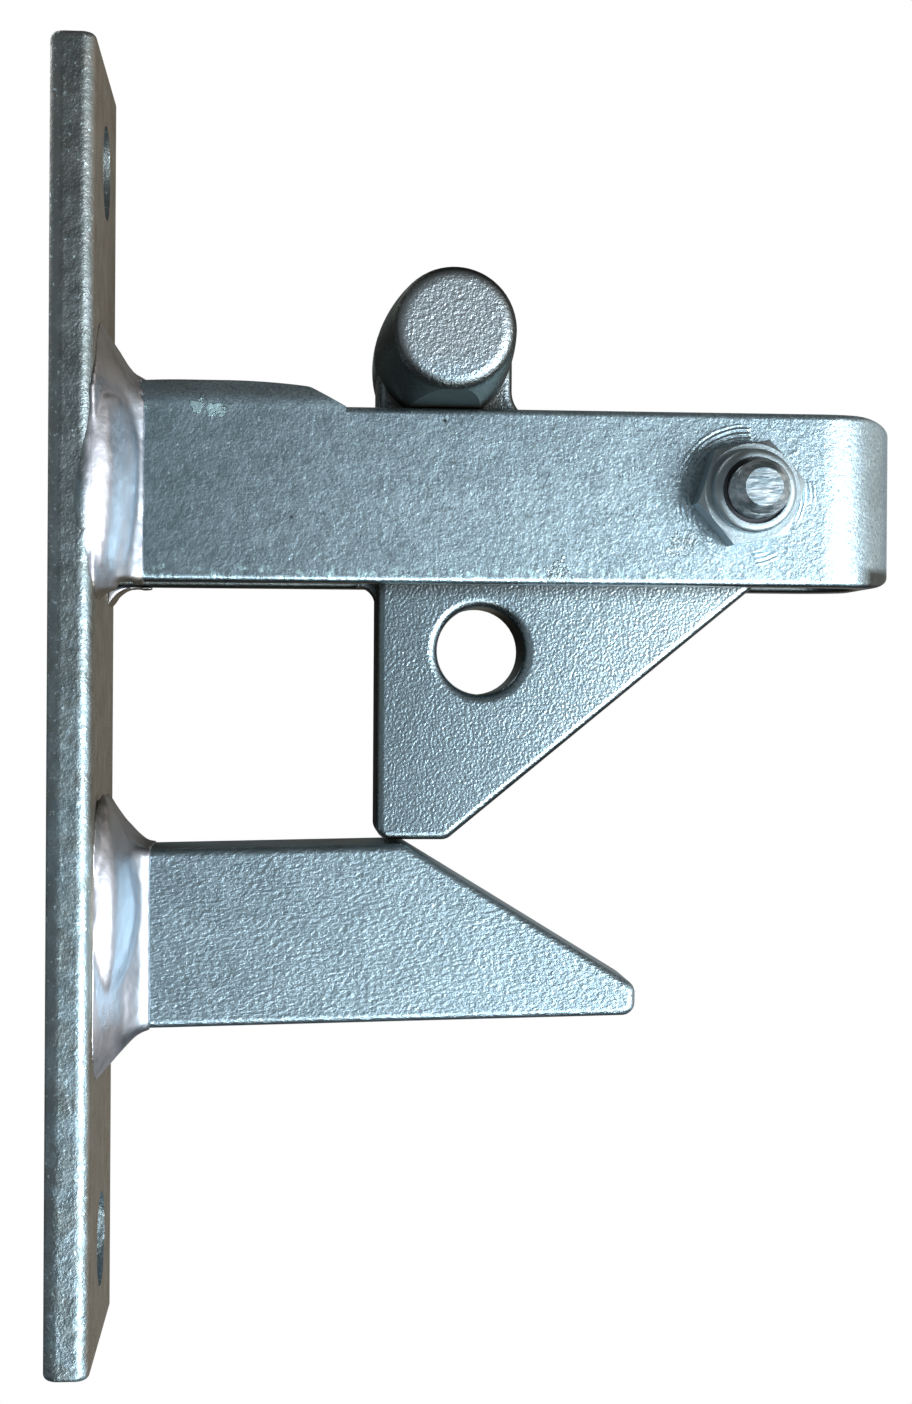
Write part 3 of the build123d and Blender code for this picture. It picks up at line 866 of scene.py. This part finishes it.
def add_bolt(material):
    """Pivot bolt with its thread cut in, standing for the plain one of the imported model."""
    thread_top = THREAD_START + THREAD_PITCH
    shank = [BOLT_END]
    step = THREAD_PITCH / THREAD_ROWS
    while shank[-1] + step < thread_top:
        shank.append(shank[-1] + step)
    shank.append(BOLT_SEAT)

    def shank_ring(angle, row):
        y = shank[row]
        phase = (y / THREAD_PITCH + angle / (2 * math.pi)) % 1.0
        groove = THREAD_DEPTH * max(0.0, 1.0 - THREAD_STEEPNESS * abs(phase - 0.5))
        run_out = min(1.0, max(0.0, (thread_top - y) / THREAD_PITCH))
        taper = BOLT_RADIUS - BOLT_CHAMFER + (y - BOLT_END)
        return min(BOLT_RADIUS - groove * run_out, taper), y

    flat = HEAD_FLATS / 2
    top = BOLT_SEAT + HEAD_HEIGHT
    corner_rise = math.tan(math.radians(BEVEL_ANGLE))

    def head_ring(angle, row):
        off_flat = (angle + math.pi / 6) % (math.pi / 3) - math.pi / 6
        hexagon = flat / math.cos(off_flat)
        bevel = (hexagon - BEVEL_SHARE * flat) * corner_rise
        seat, shoulder = (hexagon, BOLT_SEAT), (hexagon, top - bevel)
        return (seat, shoulder, (BEVEL_SHARE * flat, top), (RIM_SHARE * flat, top))[row]

    thread = turned_piece("bolt_shank", len(shank), BOLT_TURNS, shank_ring, material)
    cap = turned_piece("bolt_head", HEAD_ROWS, HEAD_TURNS, head_ring, material)
    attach(thread, "bracket")
    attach(cap, "bracket")
    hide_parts("pivot_bolt")


def add_tongue_corner(material):
    """Hollow corner where the tongue's window face spreads into the slot above it."""
    left = TONGUE_FACE - CORNER_RADIUS
    low = STRAP_UNDERSIDE - CORNER_RADIUS
    root = TONGUE_FACE + CORNER_ROOT
    lip = STRAP_UNDERSIDE + CORNER_LIP
    outline = [(root, low), (root, lip + CORNER_SLOPE), (left, lip)]
    for step in range(CORNER_STEPS + 1):
        angle = math.radians(90 * (1 - step / CORNER_STEPS))
        x = left + CORNER_RADIUS * math.cos(angle)
        outline.append((x, low + CORNER_RADIUS * math.sin(angle)))
    built = bmesh.new()
    rings = [
        [built.verts.new(Vector((x, y, z)) * MM) for x, z in outline]
        for y in (-CORNER_HALF, CORNER_HALF)
    ]
    close_rings(built, rings)
    piece = new_piece("tongue_corner", built, material)
    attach(piece, "tongue")


bar = bar_paint("galvanised_bar")
keeper_bar = keeper_paint("galvanised_keeper")
plate_bar = plate_paint("galvanised_plate")
strap_weld = weld_paint("strap_weld", STRAP_HALF, 0.0, 58.0)
keeper_weld = weld_paint("keeper_weld", KEEPER_HALF, 0.5, -20.0)
casting = casting_paint("galvanised_casting")
plated = plated_paint("zinc_plate")
nut_grey = nut_paint("nut_plate")
nylon = nylon_paint("nylon")
for node, material in {
    "upper_strap": bar,
    "stop_plate": bar,
    "stop_welds": bar,
    "upper_weld": strap_weld,
    "keeper_weld": keeper_weld,
    "pivot_bolt": plated,
    "lock_nut": nut_grey,
    "back_plate": plate_bar,
    "keeper_arm": keeper_bar,
    "latch_tongue": casting,
    "nut_insert": nylon,
}.items():
    dress(node, material)
add_bolt(plated)
add_tongue_corner(casting)
weld_skin("upper_weld_skin", "upper_weld", strap_weld)
weld_skin("keeper_weld_skin", "keeper_weld", keeper_weld)

set_world()
paper = white_paper("floor_paper")
card("floor", (0.0, 0.0, FLOOR_Z), (0, 0, 1), FLOOR_SIZE, paper, seen=True)
for name, (place, normal, size, colour) in ROOM_CARDS.items():
    card(name, place, normal, size, glow(name, colour))
panel("key", *KEY, KEY_COLOUR)
panel("low", *LOW, KEY_COLOUR)
panel("rear", *REAR, REAR_COLOUR)
add_camera()

bpy.context.scene.view_settings.view_transform = "Standard"
